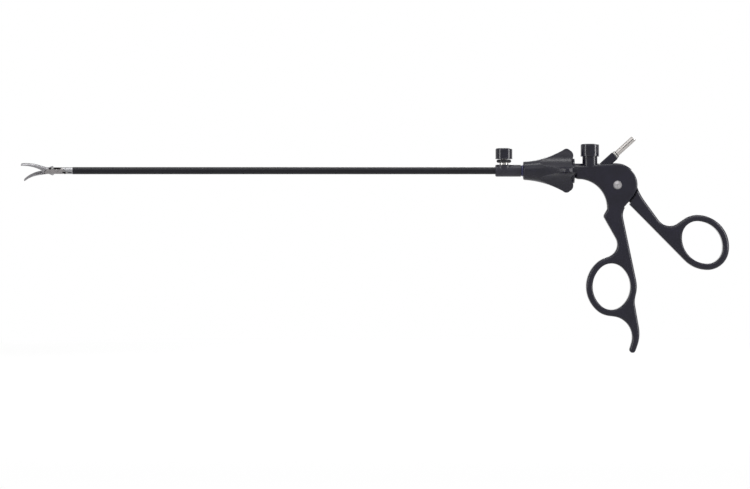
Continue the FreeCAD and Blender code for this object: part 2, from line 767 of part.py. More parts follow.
def make_pivot():
    """The flush screw of the thumb lever, its nut on the far cheek and the bush between them."""
    at = Placement(HAND_PIVOT, Rotation())
    half = "plate_thickness / 2"
    screw = new_body("pivot_screw", at)
    head = new_sketch(screw, "XZ_Plane", "screw_head", f"-{half} + pivot_head_height / 2")
    add_circle(head, "0", "0", "pivot_head_radius")
    pad(screw, head, "pivot_head_height")
    shank = new_sketch(screw, "XZ_Plane", "screw_shank", "-0.1")
    add_circle(shank, "0", "0", "pivot_shank_radius")
    pad(screw, shank, "plate_thickness - 2 * pivot_head_height + 0.2")
    socket = new_sketch(screw, "XZ_Plane", "screw_centre", f"-{half}")
    add_circle(socket, "0", "0", "screw_centre_radius")
    cut(screw, socket, "2 * screw_centre_depth")
    nut = new_body("pivot_nut", at)
    disc = new_sketch(nut, "XZ_Plane", "nut_disc", f"{half} - pivot_head_height / 2 + 0.05")
    add_circle(disc, "0", "0", "pivot_head_radius")
    pad(nut, disc, "pivot_head_height - 0.1")
    spanner = new_sketch(nut, "XZ_Plane", "spanner_holes", half)
    add_circle(spanner, "spanner_place", "0", "spanner_radius")
    add_circle(spanner, "-spanner_place", "0", "spanner_radius")
    cut(nut, spanner, "2 * spanner_depth")
    bush = new_body("pivot_bush", at)
    ring = new_sketch(bush, "XZ_Plane", "bush_ring")
    add_circle(ring, "0", "0", "pivot_bush_radius")
    add_circle(ring, "0", "0", "pivot_shank_radius + running_gap")
    pad(bush, ring, "tongue_width")


def make_connector():
    """The slit electrode pin with its light collar and dark seal."""
    at, root, end = connector_frame(), "electrode_root_radius", f"{PIN_ROOT} + electrode_length"
    tube_body("connector_collar", "0", "collar_width", root, "collar_radius", at)
    tube_body("connector_seal", "collar_width", PIN_ROOT, root, "seal_radius", at)
    pin = turned_body("electrode_pin", [
        ("-electrode_root", "0"), ("-electrode_root", root), (PIN_ROOT, root), (PIN_ROOT, "electrode_radius"),
        (f"{end} - electrode_tip_round", "electrode_radius"),
        (f"{end} - 0.3 * electrode_tip_round", "electrode_radius - 0.3 * electrode_tip_round"),
        (end, "electrode_radius - electrode_tip_round"), (end, "0")], at)
    slit = new_sketch(pin, "XZ_Plane", "pin_slit")
    add_polygon(slit, [(f"{end} - electrode_slit_length", "-electrode_slit / 2"),
                       (f"{end} + 1", "-electrode_slit / 2"), (f"{end} + 1", "electrode_slit / 2"),
                       (f"{end} - electrode_slit_length", "electrode_slit / 2")])
    cut(pin, slit)


def button_frame():
    return Placement(Vector(mm("button_place"), 0, 0), Rotation())


def make_release_button():
    """Cap that slides down over the guide, with the stem that pushes the latch plate."""
    inner, roof, boss = "button_guide_radius + 0.15", "button_high - button_roof", "button_stem_radius + 0.4"
    turned_body("release_button", [
        ("0", "button_high"), ("button_radius - 1.0", "button_high"),
        ("button_radius - 0.3", "button_high - 0.35"), ("button_radius - 0.1", "button_high - 1.1"),
        ("button_radius - 0.1", "button_low + 0.6"), ("button_radius", "button_low + 0.5"),
        ("button_radius", "button_low"), (inner, "button_low"), (inner, roof), (boss, roof),
        (boss, "button_high - button_roof - 1.4"), ("button_stem_radius", "button_high - button_roof - 1.4"),
        ("button_stem_radius", "button_bore_floor"), ("0", "button_bore_floor")], button_frame(), "V_Axis")


def make_spring():
    """Open coil between the floor of the guide's bore and the roof of the button."""
    wire = mm("spring_wire")
    low, high = mm("button_bore_floor") + wire, mm("button_high - button_roof") - wire
    radius, turns = mm("spring_radius"), mm("spring_turns")
    helix = Part.makeHelix((high - low) / turns, high - low, radius)
    circle = Part.Circle(Vector(radius, 0, 0), Vector(0, 1, 0), wire).toShape()
    coil = Part.Wire(helix.Edges).makePipeShell([Part.Wire(circle)], True, True)
    spring = doc.addObject("Part::Feature", "button_spring")
    spring.Label = "button_spring"
    spring.Shape = coil
    spring.Placement = Placement(Vector(mm("button_place"), 0, low), Rotation())


def make_latch():
    """Keyhole plate under the button's stem, and the grooved ring on the sheath's end that it holds."""
    body = new_body("latch_plate", button_frame())
    plate = new_sketch(body, "YZ_Plane", "latch_outline")
    half, tab = f"({REAR_RING} + latch_side)", "latch_tab_half_width"
    right = [(half, LATCH_LOW), (half, "latch_shoulder"), ("latch_top_half_width", "latch_top"),
             (tab, "latch_top"), (tab, "button_bore_floor")]
    add_polygon(plate, right + [(f"-{x}", z) for x, z in reversed(right)])
    pad(body, plate, "latch_thickness")
    for name, height, radius in (("holding_hole", "0", f"{REAR_GROOVE} + running_gap"),
                                 ("release_hole", "button_travel", f"{REAR_RING} + running_gap")):
        hole = new_sketch(body, "YZ_Plane", name)
        add_circle(hole, "0", height, radius)
        cut(body, hole)
    half = "(latch_thickness / 2 + 0.1)"
    turned_body("sheath_rear_ring", [
        ("rear_ring_start", TUBE_RADIUS), ("rear_ring_start", REAR_RING),
        (f"button_place - {half}", REAR_RING), (f"button_place - {half}", REAR_GROOVE),
        (f"button_place + {half}", REAR_GROOVE), (f"button_place + {half}", REAR_RING),
        ("rear_ring_end", REAR_RING), ("rear_ring_end", TUBE_RADIUS)])


# Rotating assembly: knob, hub and flushing port, sheath and clevis

def make_rotation_knob():
    """Tulip-shaped knob: a turned flare with hollow flutes that leave the fins."""
    body = new_body("rotation_knob")
    sketch = new_sketch(body, "XZ_Plane", "knob_profile")
    bore = mm("sleeve_radius")
    front, crest, top = mm("knob_front"), mm("knob_crest_place"), mm("knob_crest_radius")
    nose, rear = mm("knob_front_radius"), mm("knob_rear")
    start, face = Vector(front, bore, 0), Vector(front, nose - 1.0, 0)
    shoulder, flare = Vector(front + 1.2, nose, 0), Vector(crest - 2.4, top - 0.9, 0)
    back, brim = Vector(crest + 2.3, top - 1.2, 0), Vector(rear - 0.3, 9.0, 0)
    root, inside = Vector(rear - 2.9, 6.3, 0), Vector(rear - 2.9, bore, 0)
    add_chain(sketch, [
        Part.LineSegment(start, face),
        Part.Arc(face, Vector(front + 0.35, nose - 0.3, 0), shoulder),
        Part.Arc(shoulder, Vector(front + 15.4, nose + 2.6, 0), flare),
        Part.Arc(flare, Vector(crest, top, 0), back),
        Part.Arc(back, Vector(rear, 11.6, 0), brim),
        Part.LineSegment(brim, root),
        Part.LineSegment(root, inside),
        Part.LineSegment(inside, start),
    ])
    revolve(body, sketch, "H_Axis")
    flute = new_sketch(body, "YZ_Plane", "flute", "knob_front + 20")
    diagonal = f"flute_offset * {math.sqrt(0.5)}"
    add_circle(flute, diagonal, diagonal, "flute_radius")
    hollow = cut(body, flute, "90")
    ring = body.newObject("PartDesign::PolarPattern", "flutes")
    ring.Originals = [hollow]
    ring.Axis = (flute, ["N_Axis"])
    ring.Angle = 360
    ring.setExpression("Occurrences", bound("flute_count"))
    body.Tip = ring
    doc.recompute()
    return body


def make_sleeve():
    """The steel sleeve that carries the knob and turns in the neck, with its collar and latch groove."""
    turned_body("coupling_sleeve", [
        ("sleeve_front", SLEEVE_BORE), ("sleeve_front", "sleeve_radius"),
        ("sleeve_rear - sleeve_collar_length", "sleeve_radius"),
        ("sleeve_rear - sleeve_collar_length", "sleeve_collar_radius"),
        ("sleeve_rear", "sleeve_collar_radius"), ("sleeve_rear", SLEEVE_BORE)])
    tube_body("neck_bush", "neck_front", "neck_front + 2.6", "sleeve_radius + running_gap",
              "sleeve_collar_radius + running_gap")


def make_hub():
    """Hub with its upright boss, the steel stem of the flushing port, its seal and cap."""
    hub = new_body("sheath_hub")
    profile = new_sketch(hub, "XZ_Plane", "hub_profile")
    add_polygon(profile, [("0", "0"), ("0", "hub_radius - 0.7"), ("0.3", "hub_radius - 0.2"), ("0.9", "hub_radius"),
                          ("hub_length", "hub_radius"), ("hub_length", "0")])
    revolve(hub, profile, "H_Axis")
    boss = new_sketch(hub, "XY_Plane", "port_boss", "port_boss_top / 2")
    add_circle(boss, "port_place", "0", "port_boss_radius")
    pad(hub, boss, "port_boss_top")
    stem = new_sketch(hub, "XY_Plane", "stem_seat", "port_boss_top")
    add_circle(stem, "port_place", "0", "port_stem_radius")
    cut(hub, stem, f"2 * (port_boss_top - {TUBE_RADIUS} - port_floor)")
    bore = new_sketch(hub, "YZ_Plane", "hub_bore", "hub_length / 2")
    add_circle(bore, "0", "0", TUBE_RADIUS)
    cut(hub, bore, "hub_length + 2")
    at = Placement(Vector(mm("port_place"), 0, 0), Rotation())
    turned_body("port_stem", [
        ("port_bore_radius", f"{TUBE_RADIUS} + port_floor"), ("port_stem_radius", f"{TUBE_RADIUS} + port_floor"),
        ("port_stem_radius", "port_seal_high"), ("port_cone_radius + 0.1", "port_seal_high"),
        ("port_cone_radius", "port_cone_top"), ("port_bore_radius", "port_cone_top")], at, "V_Axis")
    turned_body("port_seal", [
        ("port_stem_radius", "port_seal_low"), ("port_seal_radius - 0.7", "port_seal_low"),
        ("port_seal_radius", "port_seal_low + 0.7"), ("port_seal_radius", "port_seal_high - 0.7"),
        ("port_seal_radius - 0.7", "port_seal_high"), ("port_stem_radius", "port_seal_high")], at, "V_Axis")
    turned_body("port_cap", [
        ("0", "port_cone_top + 0.2"), ("port_cone_radius + 0.2", "port_cone_top + 0.2"),
        ("port_cone_radius + 0.2", "cap_low"), ("cap_radius", "cap_low"), ("cap_radius", "cap_low + 0.5"),
        ("cap_radius - 0.1", "cap_low + 0.6"), ("cap_radius - 0.1", "cap_high - 1.0"),
        ("cap_radius - 0.3", "cap_high - 0.4"), ("cap_radius - 1.0", "cap_high"), ("0", "cap_high")], at, "V_Axis")
    tube_body("colour_ring", "ring_start", "ring_start + ring_width", TUBE_RADIUS, "ring_radius")
    tube_body("hub_washer", "hub_length", "ring_start", TUBE_RADIUS, "ring_radius - 0.5")


def make_sheath():
    """Steel tube, the insulation on it, its steel end and the gas seal round the rod."""
    end = f"{PIVOT_X} + {END_REAR}"
    tube_body("sheath_tube", end, "rear_ring_end", "tube_bore_radius", TUBE_RADIUS)
    tube_body("insulation_sleeve", end, "0", TUBE_RADIUS, "shaft_radius")
    tube_body("rod_seal", "rod_seal_place - rod_seal_width / 2", "rod_seal_place + rod_seal_width / 2",
              "rod_radius + running_gap", "tube_bore_radius")
    piece = new_body("sheath_end", jaw_frame())
    profile = new_sketch(piece, "XZ_Plane", "end_profile")
    add_polygon(profile, [
        (END_FRONT, "clevis_spigot_radius + running_gap"), (END_FRONT, "end_radius"), (END_REAR, "end_radius"),
        (END_REAR, "tube_bore_radius"), (f"{END_REAR} + end_spigot_length", "tube_bore_radius"),
        (f"{END_REAR} + end_spigot_length", "end_bore_radius"),
        (f"{END_FRONT} + clevis_spigot_length", "end_bore_radius"),
        (f"{END_FRONT} + clevis_spigot_length", "clevis_spigot_radius + running_gap")])
    revolve(piece, profile, "H_Axis")
    flats = new_sketch(piece, "XY_Plane", "end_flats")
    for side in ("", "-"):
        add_polygon(flats, [(f"{END_FRONT} - 1", f"{side}end_flat"), (f"{END_REAR}", f"{side}end_flat"),
                            (f"{END_REAR}", f"{side}3"), (f"{END_FRONT} - 1", f"{side}3")])
    cut(piece, flats)
    for name, offset, way in (("near_relief", "-end_relief_flat", True), ("far_relief", "end_relief_flat", False)):
        relief = new_sketch(piece, "XZ_Plane", name, offset)
        add_circle(relief, END_FRONT, "0", "end_relief_radius")
        cut_outward(piece, relief, way)
    slot = new_sketch(piece, "XZ_Plane", "end_slot")
    half = "end_slot_height / 2"
    add_slot(slot, f"{END_FRONT} - 1", "end_slot_rear - end_slot_height / 2", half)
    cut(piece, slot)


def add_slot(sketch, start, end, half):
    """A slot along X, square at its start and round at its end."""
    x0, x1, r = mm(start), mm(end), mm(half)
    low, high = Vector(x0, -r, 0), Vector(x0, r, 0)
    low_end, high_end = Vector(x1, -r, 0), Vector(x1, r, 0)
    add_chain(sketch, [
        Part.LineSegment(low, low_end),
        Part.Arc(low_end, Vector(x1 + r, 0, 0), high_end),
        Part.LineSegment(high_end, high),
        Part.LineSegment(high, low),
    ])


# Jaw insert, in its own frame: X from the pivot to the handle, Y the pin, Z the way the jaws open

def make_clevis():
    """Slit tube with two pointed cheeks that carry the jaws, and a spigot for the sheath's end."""
    body = new_body("clevis", jaw_frame())
    profile = new_sketch(body, "XZ_Plane", "clevis_profile")
    add_polygon(profile, [
        ("-clevis_nose", "0"), ("-clevis_nose", "clevis_radius"), ("clevis_length", "clevis_radius"),
        ("clevis_length", "clevis_spigot_radius"),
        ("clevis_length + clevis_spigot_length", "clevis_spigot_radius"),
        ("clevis_length + clevis_spigot_length", "0")])
    revolve(body, profile, "H_Axis")
    slot = new_sketch(body, "XY_Plane", "jaw_slot")
    add_slot(slot, "-clevis_nose - 1", f"clevis_slot_end - {CHEEK_INNER}", CHEEK_INNER)
    cut(body, slot)
    nose = new_sketch(body, "XZ_Plane", "cheek_noses")
    for side in ("", "-"):
        above = f"{side}(clevis_nose_half_height + 1.5)"
        add_polygon(nose, [("-clevis_nose", "0"), ("-clevis_shoulder", f"{side}clevis_nose_half_height"),
                           ("-clevis_shoulder", above), ("-clevis_nose - 1", above), ("-clevis_nose - 1", "0")])
    cut(body, nose)
    bore = new_sketch(body, "YZ_Plane", "rod_bore", "clevis_slot_end")
    add_circle(bore, "0", "0", "rod_radius + 0.15")
    cut(body, bore, "8")
    pin = new_sketch(body, "XZ_Plane", "jaw_pin_hole", "1")
    add_circle(pin, "0", "0", "jaw_pin_radius")
    cut(body, pin, "jaw_pin_length + 2.4")
    depth = "clevis_radius - clevis_step_depth"
    for name, offset, way in (("near_step", f"-({depth})", True), ("far_step", depth, False)):
        step = new_sketch(body, "XZ_Plane", name, offset)
        add_circle(step, "clevis_length + 0.5", "0", "clevis_step_radius")
        cut_outward(body, step, way)
    bar_body = new_body("jaw_pivot_pin", jaw_frame())
    bar = new_sketch(bar_body, "XZ_Plane", "jaw_pin_bar", "0.2")
    add_circle(bar, "0", "0", "jaw_pin_radius")
    pad(bar_body, bar, "jaw_pin_length")


def bite_point(run, outward=0.0):
    """A point of the bite at a run along it from the root, moved off it by outward, with its course."""
    rise, straight, bend = math.radians(mm("bite_rise")), mm("bite_straight"), mm("bite_bend_radius")
    bent = max(0.0, run - straight)
    along = min(run, straight)
    course = rise - bent / bend
    x = -mm("bite_start") - along * math.cos(rise) - bend * (math.sin(rise) - math.sin(course))
    z = mm("bite_offset") + along * math.sin(rise) + bend * (math.cos(course) - math.cos(rise))
    return Vector(x + outward * math.sin(course), 0, z + outward * math.cos(course)), course


def bite_length():
    """How far the bite runs before it reaches the jaw's tip."""
    run = 0.0
    while bite_point(run)[0].x > -mm("jaw_reach") + 0.05:
        run += 0.02
    return run


BITE_LENGTH = bite_length()


def jaw_section(run, side):
    """A D-shaped section across the jaw: flat just past the bite, straight sides and a rounded back."""
    share = max(0.0, run) / BITE_LENGTH
    width = mm("jaw_base_width") * (1 - share) + mm("jaw_tip_width") * share
    height = mm("jaw_base_height") * (1 - share) + mm("jaw_tip_height") * share
    base, course = bite_point(run)
    out = Vector(math.sin(course), 0, math.cos(course)) * side
    half, edge, crest = Vector(0, width / 2, 0), mm("jaw_edge_break"), mm("tooth_depth") / 2
    bite = Vector(0, width / 2 - edge, 0)
    below, wall = out * -0.4, out * min(mm("jaw_side_height"), height * 0.6)
    near = [bite + below, bite - out * crest, half - out * crest + out * 1.4 * edge, half + wall]
    left, right = [base + step for step in near], [base + Vector(step.x, -step.y, step.z) for step in near]
    lines = list(zip(left, left[1:])) + list(zip(right, right[1:])) + [(left[0], right[0])]
    edges = [Part.LineSegment(start, end).toShape() for start, end in lines]
    edges.append(Part.Arc(left[-1], base + out * height, right[-1]).toShape())
    return Part.Wire(Part.__sortEdges__(edges))


def jaw_blank(side):
    """The jaw's blade before its teeth are cut, closed over its tip."""
    stations = [-1.3, 0.0, 2.5, 5.2, 8.0, 10.5, 13.0, 15.0, BITE_LENGTH]
    return Part.makeLoft([jaw_section(run, side) for run in stations], True, False)


def teeth_cutter(side):
    """Everything past the toothed bite of a jaw. Both jaws follow one wave, a bite_gap apart."""
    pitch, wave, gap = mm("tooth_pitch") / 2, mm("tooth_depth") / 2, side * mm("bite_gap") / 2
    start = mm("tooth_start")
    flanks = 2 * int((BITE_LENGTH - mm("tooth_end") - start) / (2 * pitch)) + 1
    points = [bite_point(-1.5, gap)[0], bite_point(start - pitch / 2, gap)[0]]
    for k in range(flanks):
        points.append(bite_point(start + k * pitch, gap + (wave if k % 2 else -wave))[0])
    points += [bite_point(start + (flanks - 0.5) * pitch, gap)[0], bite_point(BITE_LENGTH + 2, gap)[0]]
    away = Vector(0, 0, -side * 8)
    points += [points[-1] + away, points[0] + away, points[0]]
    return slab(Part.Face(Part.makePolygon(points)), -4, 4)


def round_tip(blade):
    """Rounds the blade's tip, both as seen from above and in its side view."""
    reach, width, nose = mm("jaw_reach"), mm("jaw_tip_round"), mm("jaw_nose_round")
    end = Part.Face(Part.Wire(Part.Circle(Vector(width - reach, 0, -9), Vector(0, 0, 1), width).toShape()))
    plan = end.extrude(Vector(0, 0, 18)).fuse(Part.makeBox(reach + 5, 18, 18, Vector(width - reach, -9, -9)))
    middle, course = bite_point(BITE_LENGTH - nose)
    way, rise = Vector(-math.cos(course), 0, math.sin(course)), Vector(math.sin(course), 0, math.cos(course))
    corners = [middle - rise * 3, middle - rise * 3 + way * 3, middle + rise * 3 + way * 3, middle + rise * 3]
    ahead = slab(Part.Face(Part.makePolygon(corners + [corners[0]])), -4, 4)
    return blade.common(plan).cut(ahead.cut(slab(disc_face(middle.x, middle.z, nose), -5, 5)))


def disc_face(x, z, radius):
    return Part.Face(Part.Wire(Part.Circle(Vector(x, 0, z), Vector(0, 1, 0), radius).toShape()))


def bar_face(x1, z1, r1, x2, z2, r2):
    """A bar with round ends between two places."""
    return upright_face([(x1, z1, r1, 1), (x2, z2, r2, 1)])


def scoop_face(side):
    """The round scoop between a jaw's last tooth and its disc."""
    radius, depth = mm("scoop_radius"), mm("scoop_depth")
    return disc_face(-mm("bite_start") - radius + 0.1, mm("bite_offset") - side * (radius - depth), radius)


def heel_face(side):
    """What is cut off a jaw behind its slanting heel, which meets the clevis's cheek when it is open."""
    slope = math.radians(mm("jaw_heel + jaw_open_angle"))
    normal = Vector(-math.sin(slope), 0, side * math.cos(slope))
    edge = Vector(math.cos(slope), 0, side * math.sin(slope))
    reach = normal * mm("jaw_heel_place")
    corners = [reach - edge * 6, reach + edge * 6, reach + edge * 6 - normal * 8, reach - edge * 6 - normal * 8]
    return Part.Face(Part.makePolygon(corners + [corners[0]]))


def make_jaw(label, side):
    """One jaw, closed: toothed blade, hub disc on the pin and tail to its knee.
    side is 1 for the upper jaw, which lies on the near side of the pin, and -1 for the lower."""
    inner, outer = mm("jaw_half_gap"), mm(JAW_OUTER)
    low, high = (-outer, -inner) if side > 0 else (inner, outer)
    hub, tail = mm("hub_disc_radius"), math.radians(mm("tail_angle"))
    knee = Vector(mm("tail_length") * math.cos(tail), 0, -side * mm("tail_length") * math.sin(tail))
    blade = round_tip(jaw_blank(side)).cut(teeth_cutter(side))
    blade = blade.cut(slab(scoop_face(side), -4, 4))
    behind, nose = heel_face(side), disc_face(0, 0, mm("clevis_nose + jaw_disc_play"))
    for y_low, y_high in ((outer, 4), (-4, -outer)):
        blade = blade.cut(slab(behind, y_low, y_high)).cut(slab(nose, y_low, y_high))
    past_low, past_high = (-inner, 4) if side > 0 else (-4, inner)
    blade = blade.cut(slab(disc_face(0, 0, hub + mm("jaw_disc_play")), past_low, past_high))
    body = blade.fuse(slab(disc_face(0, 0, hub), low, high))
    tail_bar = bar_face(0, 0, mm("tail_root_half_width"), knee.x, knee.z, mm("tail_half_width"))
    body = body.fuse(slab(tail_bar, low, high))
    body = body.cut(slab(disc_face(0, 0, mm("jaw_pin_radius") + mm("running_gap")), -4, 4))
    body = body.cut(slab(disc_face(knee.x, knee.z, mm("knee_pin_radius")), -4, 4)).removeSplitter()
    jaw = doc.addObject("Part::Feature", label)
    jaw.Label = label
    jaw.Shape = body
    jaw.Placement = jaw_frame(side * mm("jaw_open_angle"))
    return jaw


def make_knee_pin(label, side):
    """The pin pressed into a jaw's tail, on which its link turns. side is 1 for the lower knee."""
    body = new_body(label, jaw_frame())
    bar = new_sketch(body, "XZ_Plane", label + "_bar")
    bar.addGeometry(Part.Circle(Vector(KNEE_X, -side * KNEE_Z, 0), Vector(0, 0, 1), mm("knee_pin_radius")), False)
    pad(body, bar, f"2 * {JAW_OUTER}")


def make_link(label, side):
    """A stepped link from a knee to the rod pin, across the slot from its jaw's tail."""
    inner, outer = mm("jaw_half_gap"), mm(JAW_OUTER)
    low, high = (inner, outer) if side > 0 else (-outer, -inner)
    length, end = mm("link_length"), mm("link_end_radius")
    shape = slab(bar_face(0, 0, end, length, 0, end), low, high)
    step_low, step_high = (0, mm("tongue_half_width") + 0.05) if side > 0 else (-mm("tongue_half_width") - 0.05, 0)
    shape = shape.cut(slab(bar_face(length - mm("link_slot"), 0, 1.0, length + 2, 0, 1.2), step_low, step_high))
    play = mm("rod_pin_radius") + mm("rod_pin_play")
    shape = shape.cut(slab(bar_face(length - mm("link_slot"), 0, play, length, 0, play + 0.001), -4, 4))
    shape = shape.cut(slab(disc_face(0, 0, mm("knee_pin_radius") + 0.03), -4, 4))
    link = doc.addObject("Part::Feature", label)
    link.Label = label
    link.Shape = shape
    here = Placement(Vector(KNEE_X, 0, -side * KNEE_Z), Rotation(Vector(0, 1, 0), -side * LINK_SLOPE))
    link.Placement = jaw_frame().multiply(here)


def make_rod():
    """Rod head with its tongue, rod pin and cross pin, then the long pull rod and its ball."""
    head = new_body("rod_head", jaw_frame())
    tongue = new_sketch(head, "XZ_Plane", "rod_tongue")
    x, height = ROD_PIN_X, mm("tongue_half_height")
    add_chain(tongue, belt_edges([(x, 0, height, 1), (x + mm("rod_tongue_length"), 0, height, 1)]))
    pad(head, tongue, "2 * tongue_half_width")
    bar = new_sketch(head, "YZ_Plane", "rod_head_bar", f"{x - 0.4} + rod_tongue_length + rod_head_length / 2")
    add_circle(bar, "0", "0", "rod_radius")
    pad(head, bar, "rod_head_length")
    pin_hole = new_sketch(head, "XZ_Plane", "rod_pin_hole")
    pin_hole.addGeometry(Part.Circle(Vector(x, 0, 0), Vector(0, 0, 1), mm("rod_pin_radius")), False)
    cut(head, pin_hole)
    cross = new_sketch(head, "XZ_Plane", "cross_hole")
    add_circle(cross, "cross_pin_place", "0", "cross_pin_radius")
    cut(head, cross)
    pin = new_body("rod_pin", jaw_frame())
    shank = new_sketch(pin, "XZ_Plane", "rod_pin_bar")
    shank.addGeometry(Part.Circle(Vector(x, 0, 0), Vector(0, 0, 1), mm("rod_pin_radius")), False)
    pad(pin, shank, f"2 * {JAW_OUTER}")
    guide = new_body("cross_pin", jaw_frame())
    middle = new_sketch(guide, "XZ_Plane", "cross_pin_bar")
    add_circle(middle, "cross_pin_place", "0", "cross_pin_radius")
    pad(guide, middle, "2 * (end_flat + 0.03 + cross_head_height)")
    for name, sign in (("near_head", "-"), ("far_head", "")):
        cap = new_sketch(guide, "XZ_Plane", name, f"{sign}(end_flat + 0.03 + cross_head_height / 2)")
        add_circle(cap, "cross_pin_place", "0", "cross_head_radius")
        pad(guide, cap, "cross_head_height")
    start = f"{JAW_PIVOT + x - 0.4} + rod_tongue_length + rod_head_length"
    turned_body("pull_rod", [
        (start, "0"), (start, "rod_radius"), ("pivot_place - 4.5", "rod_radius"),
        ("pivot_place - 4.0", "rod_neck_radius"), ("pivot_place - ball_radius + ball_seat", "rod_neck_radius"),
        ("pivot_place - ball_radius + ball_seat", "0")])
    ball = new_body("rod_ball", Placement(Vector(mm("pivot_place"), 0, 0), Rotation()))
    sphere = ball.newObject("PartDesign::AdditiveSphere", "ball")
    sphere.setExpression("Radius", bound("ball_radius"))
    bore = new_sketch(ball, "YZ_Plane", "ball_bore", "-ball_radius")
    add_circle(bore, "0", "0", "rod_neck_radius")
    cut(ball, bore, "2 * ball_seat")


make_handle_frame()
make_neck_flange()
make_pivot()
make_connector()
make_release_button()
make_spring()
make_thumb_lever()
make_rotation_knob()
make_sleeve()
make_hub()
make_sheath()
make_latch()
make_clevis()
make_rod()
make_jaw("upper_jaw", 1)
make_jaw("lower_jaw", -1)
make_knee_pin("lower_knee_pin", 1)
make_knee_pin("upper_knee_pin", -1)
make_link("lower_link", 1)
make_link("upper_link", -1)
doc.recompute()


def finished_pieces():
    """Every sub-part, once each object of the document is known to be sound."""
    for item in doc.Objects:
        if "Invalid" in item.State or "Error" in item.State:
            raise RuntimeError(f"{item.Name} did not build")
    kinds = ("PartDesign::Body", "Part::Feature")
    pieces = [item for item in doc.Objects if item.TypeId in kinds and not item.Name.endswith("_base")]
    for piece in pieces:
        if piece.Shape.isNull() or not piece.Shape.isValid():
            raise RuntimeError(f"{piece.Label} has no sound shape")
    return pieces


def write_parts():
    os.makedirs("parts", exist_ok=True)
    for piece in finished_pieces():
        piece.Shape.exportStep(f"parts/{piece.Label}.step")
        box = piece.Shape.BoundBox
        print(f"{piece.Label}: {len(piece.Shape.Solids)} solid, {piece.Shape.Volume:.1f} mm3, "
              f"x {box.XMin:.1f} to {box.XMax:.1f}, z {box.ZMin:.1f} to {box.ZMax:.1f}")


write_parts()
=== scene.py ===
import json
import math

import bpy
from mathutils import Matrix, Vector


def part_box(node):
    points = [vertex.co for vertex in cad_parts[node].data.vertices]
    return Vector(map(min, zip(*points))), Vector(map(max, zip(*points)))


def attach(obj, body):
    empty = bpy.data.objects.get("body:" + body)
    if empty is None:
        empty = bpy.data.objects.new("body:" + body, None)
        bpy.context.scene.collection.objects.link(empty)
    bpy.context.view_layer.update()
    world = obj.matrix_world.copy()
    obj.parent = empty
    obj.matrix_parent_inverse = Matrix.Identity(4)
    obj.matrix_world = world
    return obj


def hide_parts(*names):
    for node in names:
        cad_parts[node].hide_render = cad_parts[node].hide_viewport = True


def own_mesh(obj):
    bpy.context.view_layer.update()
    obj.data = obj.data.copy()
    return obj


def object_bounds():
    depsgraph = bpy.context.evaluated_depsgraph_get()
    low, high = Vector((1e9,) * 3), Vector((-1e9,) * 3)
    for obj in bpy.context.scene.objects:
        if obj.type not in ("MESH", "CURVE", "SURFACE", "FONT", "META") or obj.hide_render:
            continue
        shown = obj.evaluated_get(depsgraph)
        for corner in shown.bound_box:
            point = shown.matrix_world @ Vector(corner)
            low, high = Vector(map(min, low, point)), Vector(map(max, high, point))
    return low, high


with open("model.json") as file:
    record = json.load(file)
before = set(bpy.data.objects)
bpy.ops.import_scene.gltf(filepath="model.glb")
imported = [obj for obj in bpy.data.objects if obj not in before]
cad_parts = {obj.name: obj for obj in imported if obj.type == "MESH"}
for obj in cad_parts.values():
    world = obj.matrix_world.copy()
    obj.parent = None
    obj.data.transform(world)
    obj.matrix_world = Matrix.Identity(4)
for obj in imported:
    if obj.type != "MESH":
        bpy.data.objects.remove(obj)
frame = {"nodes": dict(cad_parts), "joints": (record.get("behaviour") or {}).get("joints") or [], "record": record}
cad_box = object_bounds()
nodes = frame["nodes"]
joints = {joint["name"]: joint for joint in frame["joints"]}
mounts = {mount["name"]: mount for mount in frame["record"]["mounts"]}

MM = 0.001


# Materials

